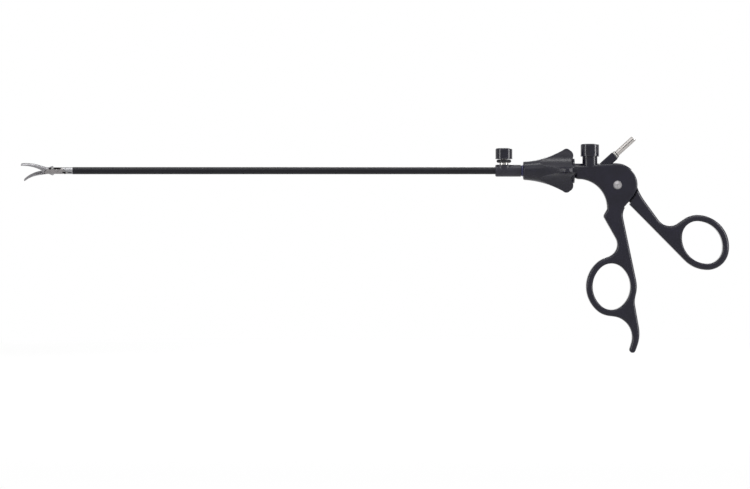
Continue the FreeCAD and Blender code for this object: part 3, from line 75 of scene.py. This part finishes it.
class Surface:
    """A node material with a Principled shader, and short calls for what its sockets read."""

    # Where a Mix node has its two colours and their mixture
    FIRST, SECOND, MIXTURE = 6, 7, 2
    # Rays by which a point of the surface finds the edges and grooves near it
    RAYS = 6

    def __init__(self, name):
        self.material = bpy.data.materials.new(name)
        self.material.use_nodes = True
        self.tree = self.material.node_tree
        self.shader = self.tree.nodes["Principled BSDF"]
        given = self.tree.nodes.new("ShaderNodeTexCoord").outputs
        self.place, self.normal = given["Object"], given["Normal"]

    def set(self, **values):
        """Values for the shader's own sockets, whose names have a space for each underscore."""
        for name, value in values.items():
            self.shader.inputs[name.replace("_", " ")].default_value = value

    def link(self, output, name):
        self.tree.links.new(output, self.shader.inputs[name])

    def node(self, kind, links=None, **values):
        """A new node, with links into its sockets, and values for its sockets or settings."""
        made = self.tree.nodes.new(kind)
        for name, value in values.items():
            if name in made.inputs:
                made.inputs[name].default_value = value
            else:
                setattr(made, name, value)
        for name, output in (links or {}).items():
            self.tree.links.new(output, made.inputs[name])
        return made

    def stretched(self, scale):
        """The object's coordinates, stretched by scale along X, Y and Z."""
        return self.node("ShaderNodeMapping", {"Vector": self.place}, Scale=scale).outputs["Vector"]

    def noise(self, size_mm, place=None, detail=3.0, roughness=0.55):
        """Noise whose features are about size_mm across."""
        made = self.node("ShaderNodeTexNoise", {"Vector": place or self.place},
                         Scale=1 / (size_mm * MM), Detail=detail, Roughness=roughness)
        return made.outputs["Fac"]

    def ramp(self, value, low, high, start=0.0, end=1.0):
        """value, spread over start to end, turned into a number from low to high."""
        made = self.node("ShaderNodeMapRange", {"Value": value})
        for name, number in (("From Min", start), ("From Max", end), ("To Min", low), ("To Max", high)):
            made.inputs[name].default_value = number
        return made.outputs["Result"]

    def math(self, operation, *values):
        """A number worked out from numbers and outputs."""
        made = self.node("ShaderNodeMath", operation=operation)
        for socket, value in zip(made.inputs, values):
            if isinstance(value, (int, float)):
                socket.default_value = value
            else:
                self.tree.links.new(value, socket)
        return made.outputs["Value"]

    def mixed(self, value, first, second):
        """A colour between first and second, each a colour or what another node gives."""
        made = self.node("ShaderNodeMix", {"Factor": value}, data_type="RGBA")
        for socket, colour in ((made.inputs[self.FIRST], first), (made.inputs[self.SECOND], second)):
            if isinstance(colour, tuple):
                socket.default_value = (*colour, 1)
            else:
                self.tree.links.new(colour, socket)
        return made.outputs[self.MIXTURE]

    def bump(self, height, depth_mm, strength=1.0, under=None):
        """Normals bumped by a height from 0 to 1, on top of the normals under them."""
        links = {"Height": height}
        if under is not None:
            links["Normal"] = under
        made = self.node("ShaderNodeBump", links, Distance=depth_mm * MM, Strength=strength)
        return made.outputs["Normal"]

    def edges(self, radius_mm):
        """Normals that round every sharp edge over radius_mm, and a number that is 1 at those edges."""
        rounded = self.node("ShaderNodeBevel", Radius=radius_mm * MM, samples=self.RAYS).outputs["Normal"]
        plain = self.node("ShaderNodeNewGeometry").outputs["Normal"]
        likeness = self.node("ShaderNodeVectorMath", {0: rounded, 1: plain}, operation="DOT_PRODUCT")
        return rounded, self.ramp(likeness.outputs["Value"], 1, 0, start=0.80, end=0.985)

    def openness(self, reach_mm, start=0.25, end=0.85):
        """0 deep in grooves narrower than about reach_mm, and 1 in the open."""
        made = self.node("ShaderNodeAmbientOcclusion", Distance=reach_mm * MM, samples=self.RAYS)
        return self.ramp(made.outputs["AO"], 0, 1, start, end)

    def paint(self, tone, painted_shade_tone, unshaded_share):
        """Gives the shader its colour: tone in the open, and the darker painted shade tone deep in the grooves,
        where shade falls.
        """
        self.link(self.mixed(unshaded_share, painted_shade_tone, tone), "Base Color")

    def axis(self, name, vector):
        return self.node("ShaderNodeSeparateXYZ", {"Vector": vector}).outputs[name]


def scaled(colour, factor):
    return tuple(channel * factor for channel in colour)


def moulded(name, colour, rough, gloss=0.25, edge_mm=0.3, wear_and_highlight=0.7, grain_depth=0.014, plate=False):
    """Moulded plastic: a fine eroded grain, clouds in tone and gloss, edges lightened partly by handling wear and
    partly by a painted highlight, and painted shade in the corners. A plate lies in the XZ plane: its flat sides
    are mattest, its rims are worn glossy by the hand, and the parting line of its mould runs round them."""
    surface = Surface(name)
    rounded, edge = surface.edges(edge_mm)
    cloud = surface.noise(size_mm=9.0, detail=4.0)
    cloudy = surface.ramp(cloud, 0, 1, start=0.35, end=0.65)
    tone = surface.mixed(cloudy, scaled(colour, 0.80), scaled(colour, 1.15))
    grain = surface.noise(size_mm=0.28, detail=2.0)
    tone = surface.mixed(surface.ramp(grain, 0, 0.6, start=0.52, end=0.72), tone, scaled(colour, 2.2))
    patchy = surface.ramp(surface.noise(size_mm=1.4, detail=4.0), 0, 1, start=0.35, end=0.6)
    rubbed_and_highlit = surface.math("MULTIPLY", edge, patchy)
    # Edges lightened: partly wear from handling, partly a painted highlight.
    tone = surface.mixed(surface.math("MULTIPLY", rubbed_and_highlit, wear_and_highlight), tone, scaled(colour, 4.0))
    # Painted shade: the colour darkens in corners and grooves.
    surface.paint(tone, scaled(colour, 0.45), surface.openness(reach_mm=1.6))
    rub = surface.noise(size_mm=2.5, place=surface.stretched((0.4, 1.0, 1.0)), detail=5.0)
    satin = surface.ramp(rub, rough * 0.88, rough * 1.14, start=0.3, end=0.7)
    satin = surface.math("MULTIPLY_ADD", rubbed_and_highlit, -0.12, satin)
    sink = surface.noise(size_mm=14.0, detail=1.0)
    wave = surface.bump(sink, depth_mm=0.05, strength=0.4, under=rounded)
    if plate:
        facing = surface.math("ABSOLUTE", surface.axis("Y", surface.normal))
        rim = surface.ramp(facing, 1, 0, start=0.80, end=0.97)
        satin = surface.math("MULTIPLY_ADD", rim, -0.5 * rough, satin)
        away = surface.math("ABSOLUTE", surface.axis("Y", surface.place))
        parting = surface.ramp(away, 1, 0, start=0.05 * MM, end=0.16 * MM)
        wave = surface.bump(parting, depth_mm=0.03, under=wave)
    surface.link(satin, "Roughness")
    surface.link(surface.bump(grain, grain_depth, strength=0.8, under=wave), "Normal")
    surface.set(Specular_IOR_Level=gloss)
    return surface.material


def turned(name, colour, rough, along="X", pitch_mm=0.12, depth=0.004):
    """Metal turned on a lathe: fine rings of uneven depth round the axis, with a painted highlight along its edges
    and painted shade in its grooves.
    """
    surface = Surface(name)
    rounded, edge = surface.edges(radius_mm=0.08)
    stretch = [0.02, 0.02, 0.02]
    stretch["XYZ".index(along)] = 1.0
    rings = surface.noise(pitch_mm, surface.stretched(stretch), detail=4.0, roughness=0.7)
    stain = surface.ramp(surface.noise(size_mm=3.0, detail=4.0), 0, 1, start=0.3, end=0.7)
    tone = surface.mixed(stain, scaled(colour, 0.82), colour)
    tone = surface.mixed(surface.ramp(rings, 0, 0.35, start=0.35, end=0.7), tone, scaled(colour, 0.6))
    # Painted highlight along the edges.
    tone = surface.mixed(surface.math("MULTIPLY", edge, 0.6), tone, scaled(colour, 1.7))
    # Painted shade in the grooves.
    surface.paint(tone, scaled(colour, 0.3), surface.openness(reach_mm=0.5))
    surface.link(surface.ramp(rings, rough * 0.75, rough * 1.3, start=0.3, end=0.7), "Roughness")
    surface.link(surface.bump(rings, depth, strength=0.8, under=rounded), "Normal")
    surface.set(Metallic=1.0)
    return surface.material


def faced(name, colour, rough, centre, pitch_mm=0.1, rim_mm=3.0):
    """A screw head faced on a lathe, its axis along Y: rings round a centre, which draw the light out
    into wedges, a darker rim that is painted shade, a painted highlight along its edges and painted shade in its
    grooves."""
    surface = Surface(name)
    rounded, edge = surface.edges(radius_mm=0.12)
    moved = surface.node("ShaderNodeVectorMath", {0: surface.place}, operation="SUBTRACT")
    moved.inputs[1].default_value = centre
    parts = surface.node("ShaderNodeSeparateXYZ", {"Vector": moved.outputs[0]}).outputs
    flat = surface.node("ShaderNodeCombineXYZ", {"X": parts["X"], "Z": parts["Z"]}).outputs[0]
    reach = surface.node("ShaderNodeVectorMath", {0: flat}, operation="LENGTH").outputs["Value"]
    line = surface.node("ShaderNodeCombineXYZ", {"X": reach}).outputs[0]
    rings = surface.noise(pitch_mm, line, detail=3.0, roughness=0.7)
    tone = surface.mixed(rings, scaled(colour, 0.6), scaled(colour, 1.25))
    # Painted shade: a darker rim round the screw head.
    rim = surface.ramp(reach, 0, 1, start=rim_mm * 0.72 * MM, end=rim_mm * 0.98 * MM)
    tone = surface.mixed(rim, tone, scaled(colour, 0.35))
    # Painted highlight along the edges.
    tone = surface.mixed(edge, tone, scaled(colour, 1.6))
    # Painted shade in the grooves.
    surface.paint(tone, scaled(colour, 0.3), surface.openness(reach_mm=0.5))
    surface.link(surface.ramp(rings, rough * 0.7, rough * 1.3, start=0.3, end=0.7), "Roughness")
    dish = surface.bump(surface.ramp(reach, 1, 0, end=rim_mm * MM), depth_mm=1.1, under=rounded)
    surface.link(surface.bump(rings, depth_mm=0.006, strength=0.8, under=dish), "Normal")
    around = surface.node("ShaderNodeVectorMath", {0: flat}, operation="CROSS_PRODUCT")
    around.inputs[1].default_value = (0, 1, 0)
    surface.link(around.outputs[0], "Tangent")
    surface.set(Metallic=1.0, Anisotropic=0.75)
    return surface.material


def blasted(name, colour, rough):
    """Steel blasted to a fine even grain: painted shade in its grooves, and edges polished smoother and lightened
    by a painted highlight.
    """
    surface = Surface(name)
    rounded, edge = surface.edges(radius_mm=0.06)
    grain = surface.noise(size_mm=0.11, detail=3.0, roughness=0.7)
    patch = surface.noise(size_mm=1.6, detail=4.0)
    patchy = surface.ramp(patch, 0, 1, start=0.3, end=0.7)
    tone = surface.mixed(patchy, scaled(colour, 0.82), scaled(colour, 1.16))
    tone = surface.mixed(surface.ramp(grain, 0, 0.7, start=0.45, end=0.62), tone, scaled(colour, 0.55))
    # Painted highlight along the edges, on the teeth's crests too.
    tone = surface.mixed(surface.math("MULTIPLY", edge, 0.9), tone, scaled(colour, 2.9))
    # Painted shade: near black deep in the grooves between the teeth.
    surface.paint(tone, scaled(colour, 0.10), surface.openness(reach_mm=0.45, start=0.52, end=0.90))
    even = surface.ramp(patch, rough * 1.15, rough * 0.85, start=0.3, end=0.7)
    surface.link(surface.math("MULTIPLY_ADD", edge, -0.16, even), "Roughness")
    surface.link(surface.bump(grain, depth_mm=0.012, strength=0.7, under=rounded), "Normal")
    surface.set(Metallic=1.0)
    return surface.material


def rubber(name, colour, rough):
    """Rubber with a pale bloom, and a painted highlight along its edges."""
    surface = Surface(name)
    rounded, edge = surface.edges(radius_mm=0.2)
    bloom = surface.noise(size_mm=1.2, detail=4.0)
    tone = surface.mixed(surface.ramp(bloom, 0, 1, start=0.4, end=0.7), colour, scaled(colour, 1.8))
    # Painted highlight along the edges.
    surface.link(surface.mixed(surface.math("MULTIPLY", edge, 0.5), tone, scaled(colour, 2.6)), "Base Color")
    surface.link(surface.ramp(bloom, rough, rough * 1.2, start=0.3, end=0.7), "Roughness")
    skin = surface.noise(size_mm=0.1, detail=2.0)
    surface.link(surface.bump(skin, depth_mm=0.005, strength=0.5, under=rounded), "Normal")
    surface.set(Specular_IOR_Level=0.3)
    return surface.material


def extruded(name, colour, rough):
    """Shrunk-on insulation: smooth, with faint draw lines along the shaft and light rub marks."""
    surface = Surface(name)
    rounded = surface.edges(radius_mm=0.1)[0]
    lines = surface.noise(size_mm=0.25, place=surface.stretched((0.01, 1.0, 1.0)), detail=3.0)
    spots = surface.noise(size_mm=6.0, place=surface.stretched((0.3, 1.0, 1.0)), detail=4.0)
    streaks = surface.noise(size_mm=0.5, place=surface.stretched((0.08, 1.0, 1.0)), detail=5.0)
    rubs = surface.ramp(streaks, 0, 0.5, start=0.6, end=0.75)
    spotty = surface.ramp(spots, 0, 1, start=0.4, end=0.7)
    tone = surface.mixed(spotty, scaled(colour, 0.85), scaled(colour, 1.2))
    surface.link(surface.mixed(rubs, tone, scaled(colour, 1.6)), "Base Color")
    surface.link(surface.ramp(spots, rough * 0.85, rough * 1.2, start=0.3, end=0.7), "Roughness")
    surface.link(surface.bump(lines, depth_mm=0.004, strength=0.5, under=rounded), "Normal")
    surface.set(Specular_IOR_Level=0.2)
    return surface.material


PIVOT = joints["squeeze"]["pos_m"]

finishes = {
    "handle": moulded("handle_plastic", (0.0050, 0.0045, 0.0100), 0.34, plate=True),
    # The knob's fin edges are lightened most: wear and a painted highlight.
    "knob": moulded("knob_plastic", (0.0060, 0.0056, 0.0108), 0.29, gloss=0.27, edge_mm=0.7, wear_and_highlight=1.0),
    "hub": moulded("hub_plastic", (0.0100, 0.0095, 0.0150), 0.34, gloss=0.28),
    "button": moulded("button_plastic", (0.0030, 0.0028, 0.0080), 0.19, gloss=0.32, grain_depth=0.003),
    "ring": moulded("ring_plastic", (0.030, 0.029, 0.082), 0.30),
    "sleeve": extruded("sleeve_insulation", (0.0032, 0.0030, 0.0055), 0.30),
    "seal": rubber("seal_rubber", (0.009, 0.009, 0.011), 0.55),
    "screw": faced("screw_steel", (0.30, 0.29, 0.30), 0.34, PIVOT),
    "collar": turned("collar_steel", (0.46, 0.45, 0.43), 0.24),
    "electrode": turned("electrode_steel", (0.42, 0.40, 0.385), 0.17, pitch_mm=0.3, depth=0.001),
    # Near black: the leaf stands in as painted shade in the electrode pin's slit.
    "leaf": turned("leaf_painted_shade", (0.030, 0.028, 0.028), 0.40),
    "port": turned("port_steel", (0.42, 0.41, 0.40), 0.22, along="Z"),
    "inner": turned("inner_steel", (0.36, 0.36, 0.36), 0.30),
    "end": turned("end_steel", (0.27, 0.27, 0.28), 0.28, pitch_mm=0.09, depth=0.006),
    "clevis": blasted("clevis_steel", (0.235, 0.225, 0.225), 0.34),
    "pin": turned("pin_steel", (0.28, 0.27, 0.265), 0.30),
    "jaw": blasted("jaw_steel", (0.235, 0.230, 0.240), 0.34),
    "link": turned("link_steel", (0.36, 0.355, 0.35), 0.22),
}

WORN_BY = {
    "handle": ("handle_frame", "thumb_lever", "neck_flange"),
    "knob": ("rotation_knob",),
    "hub": ("sheath_hub",),
    "button": ("release_button", "port_cap"),
    "ring": ("colour_ring",),
    "sleeve": ("insulation_sleeve",),
    "seal": ("connector_seal", "port_seal", "hub_washer", "rod_seal"),
    "screw": ("pivot_screw", "pivot_nut"),
    "collar": ("connector_collar",),
    "electrode": ("electrode_pin",),
    "port": ("port_stem",),
    "inner": ("pivot_bush", "neck_bush", "button_spring", "latch_plate", "coupling_sleeve", "sheath_tube",
              "sheath_rear_ring", "jaw_pivot_pin", "rod_head", "rod_pin", "pull_rod", "rod_ball",
              "lower_knee_pin", "upper_knee_pin"),
    "end": ("sheath_end",),
    "clevis": ("clevis",),
    "pin": ("cross_pin",),
    "jaw": ("upper_jaw", "lower_jaw"),
    "link": ("upper_link", "lower_link"),
}


def smooth(piece, degrees=32):
    """Smooth shading, with edges kept where the surface turns by more than this."""
    mesh = piece.data
    mesh.polygons.foreach_set("use_smooth", [True] * len(mesh.polygons))
    mesh.set_sharp_from_angle(angle=math.radians(degrees))


for finish, names in WORN_BY.items():
    for name in names:
        piece = nodes[name]
        piece.data.materials.clear()
        piece.data.materials.append(finishes[finish])
        smooth(piece)


# Pieces made here

def make_tube(name, rings, material):
    """A closed tube through rings of points, which run anticlockwise as seen from the last one."""
    sides, last = len(rings[0]), len(rings) - 1
    faces = [tuple(range(sides))[::-1], tuple(range(sides * last, sides * last + sides))]
    for k in range(last):
        near, far = sides * k, sides * (k + 1)
        faces += [(near + j, near + (j + 1) % sides, far + (j + 1) % sides, far + j) for j in range(sides)]
    mesh = bpy.data.meshes.new(name)
    mesh.from_pydata([point for ring in rings for point in ring], [], faces)
    mesh.materials.append(material)
    tube = bpy.data.objects.new(name, mesh)
    bpy.context.scene.collection.objects.link(tube)
    smooth(tube)
    return tube


# The spring leaf in the electrode pin's slit, coloured near black as painted shade, which shows as the slit's dark
# line

PIN_FOOT = Vector(mounts["electrode_pin"]["pos_m"])
PIN_ALONG = Vector(mounts["electrode_pin"]["axis"])
PIN_ACROSS = Vector((-PIN_ALONG.z, 0.0, PIN_ALONG.x))

LEAF_START, LEAF_END = -2.6 * MM, 7.2 * MM
LEAF_HALF_WIDTH, LEAF_HALF_THICKNESS = 1.62 * MM, 0.22 * MM
LEAF_CORNER, LEAF_BOW = 0.12 * MM, 0.05 * MM
LEAF_TAPER = 0.18


def leaf_section(share):
    """Points round the leaf at a share of its length. The leaf bows a little and narrows at its ends."""
    run = LEAF_START + (LEAF_END - LEAF_START) * share
    middle = PIN_FOOT + PIN_ALONG * run + PIN_ACROSS * LEAF_BOW * math.sin(math.pi * share)
    side = LEAF_HALF_WIDTH * (1 - LEAF_TAPER * (2 * share - 1) ** 4)
    top = LEAF_HALF_THICKNESS
    near_side, near_top = side - LEAF_CORNER, top - LEAF_CORNER
    corners = [(side, near_top), (near_side, top), (-near_side, top), (-side, near_top),
               (-side, -near_top), (-near_side, -top), (near_side, -top), (side, -near_top)]
    return [middle + Vector((0.0, y, 0.0)) + PIN_ACROSS * height for y, height in corners]


def make_slit_leaf(sections=15):
    rings = [leaf_section(k / (sections - 1)) for k in range(sections)]
    leaf = make_tube("electrode_slit_leaf", rings, finishes["leaf"])
    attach(leaf, "handle")


make_slit_leaf()


# The coil under the release button

BUTTON_X, BUTTON_TRAVEL = 65.7 * MM, joints["button_press"]["range_m"][1]


def make_button_coil(turns=5, wire=0.35 * MM, radius=3.0 * MM, rings_a_turn=28, sides=10):
    """A round wire along a helix as tall as the CAD coil, closed at both ends."""
    low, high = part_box("button_spring")
    tall = high.z - low.z
    rise = (tall - 2 * wire) / (turns * rings_a_turn)
    angles = [math.tau * j / sides for j in range(sides)]
    down = Vector((0.0, 0.0, -1.0))
    rings = []
    for k in range(turns * rings_a_turn + 1):
        turn = math.tau * k / rings_a_turn
        out = Vector((math.cos(turn), math.sin(turn), 0.0))
        middle = Vector((BUTTON_X, 0.0, low.z + wire + rise * k)) + out * radius
        rings.append([middle + (out * math.cos(angle) + down * math.sin(angle)) * wire for angle in angles])
    coil = make_tube("button_coil", rings, finishes["inner"])
    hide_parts("button_spring")
    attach(coil, "handle")
    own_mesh(coil)


make_button_coil()


# Stage

STAGE_MIDDLE = Vector((-40 * MM, 0.0, -30 * MM))
SOFT_STRENGTH, WHITE_STRENGTH = 0.35, 1.0
FLOOR_BELOW, FLOOR_REACH = 20 * MM, 4.0


def seen_directly(tree):
    """1 for what the camera sees, straight or in gloss or glass, and 0 for the light that falls on things."""
    rays = tree.nodes.new("ShaderNodeLightPath").outputs
    seen = rays["Is Camera Ray"]
    for name in ("Is Glossy Ray", "Is Transmission Ray"):
        either = tree.nodes.new("ShaderNodeMath")
        either.operation = "MAXIMUM"
        tree.links.new(seen, either.inputs[0])
        tree.links.new(rays[name], either.inputs[1])
        seen = either.outputs[0]
    return seen


def mixed_shader(tree, share, first, second):
    mix = tree.nodes.new("ShaderNodeMixShader")
    for socket, output in zip(mix.inputs, (share, first, second)):
        tree.links.new(output, socket)
    return mix.outputs[0]


def make_world():
    """Soft light from all sides, under a background that shows white."""
    world = bpy.data.worlds.new("studio")
    world.use_nodes = True
    bpy.context.scene.world = world
    tree = world.node_tree
    soft = tree.nodes["Background"]
    white = tree.nodes.new("ShaderNodeBackground")
    for light, strength in ((soft, SOFT_STRENGTH), (white, WHITE_STRENGTH)):
        light.inputs["Color"].default_value = (1, 1, 1, 1)
        light.inputs["Strength"].default_value = strength
    shown = mixed_shader(tree, seen_directly(tree), soft.outputs[0], white.outputs[0])
    tree.links.new(shown, tree.nodes["World Output"].inputs["Surface"])


def make_softbox(name, direction, distance, size, radiance):
    """A rectangular lamp of an even radiance, where the white background has 1, aimed at the instrument."""
    light = bpy.data.lights.new(name, "AREA")
    light.shape = "RECTANGLE"
    light.size, light.size_y = size
    light.energy = radiance * math.pi * light.size * light.size_y
    lamp = bpy.data.objects.new(name, light)
    bpy.context.scene.collection.objects.link(lamp)
    way = Vector(direction).normalized()
    lamp.location = STAGE_MIDDLE + way * distance
    lamp.rotation_euler = (-way).to_track_quat("-Z", "Y").to_euler()


def make_floor():
    """A pale floor a little below the instrument. It turns to plain white away from it."""
    level = cad_box[0].z - FLOOR_BELOW
    corners = [(x * FLOOR_REACH, y * FLOOR_REACH, level) for x, y in ((-1, -1), (1, -1), (1, 1), (-1, 1))]
    mesh = bpy.data.meshes.new("floor")
    mesh.from_pydata(corners, [], [(0, 1, 2, 3)])
    floor = bpy.data.objects.new("floor", mesh)
    bpy.context.scene.collection.objects.link(floor)
    surface = Surface("floor_white")
    surface.set(Base_Color=(0.92, 0.92, 0.92, 1), Roughness=0.9, Specular_IOR_Level=0.2)
    reach = surface.node("ShaderNodeVectorMath", {0: surface.place}, operation="LENGTH").outputs["Value"]
    fade = surface.ramp(reach, 0.3, 1.0, start=0.4, end=1.3)
    share = surface.math("MULTIPLY", fade, seen_directly(surface.tree))
    white = surface.node("ShaderNodeEmission", Strength=WHITE_STRENGTH)
    shown = mixed_shader(surface.tree, share, surface.shader.outputs[0], white.outputs[0])
    surface.tree.links.new(shown, surface.tree.nodes["Material Output"].inputs["Surface"])
    mesh.materials.append(surface.material)


def make_camera(lens=200, margin=1.06):
    """The photograph's view, square on to the handle's near side, with a long lens."""
    data = bpy.data.cameras.new("view")
    data.lens = lens
    data.clip_end = 20
    camera = bpy.data.objects.new("view", data)
    bpy.context.scene.collection.objects.link(camera)
    low, high = cad_box
    width = (high.x - low.x) * margin
    distance = width * data.lens / data.sensor_width
    camera.location = ((low.x + high.x) / 2, -distance, (low.z + high.z) / 2)
    camera.rotation_euler = (math.radians(90), 0, 0)
    bpy.context.scene.camera = camera


make_world()
make_floor()
make_camera()
make_softbox("top_strip", direction=(0.0, -0.25, 1.0), distance=1.2, size=(1.4, 0.16), radiance=12)
make_softbox("right_strip", direction=(1.0, -0.30, 0.32), distance=1.3, size=(0.30, 1.3), radiance=14)
make_softbox("left_strip", direction=(-1.0, -0.60, 0.25), distance=1.3, size=(0.20, 1.2), radiance=12)
make_softbox("front_fill", direction=(-0.2, -1.0, 0.75), distance=2.2, size=(1.5, 1.0), radiance=1.4)
make_softbox("back_fill", direction=(0.3, 1.0, 0.55), distance=2.0, size=(1.3, 0.9), radiance=4)
bpy.context.scene.view_settings.view_transform = "Standard"
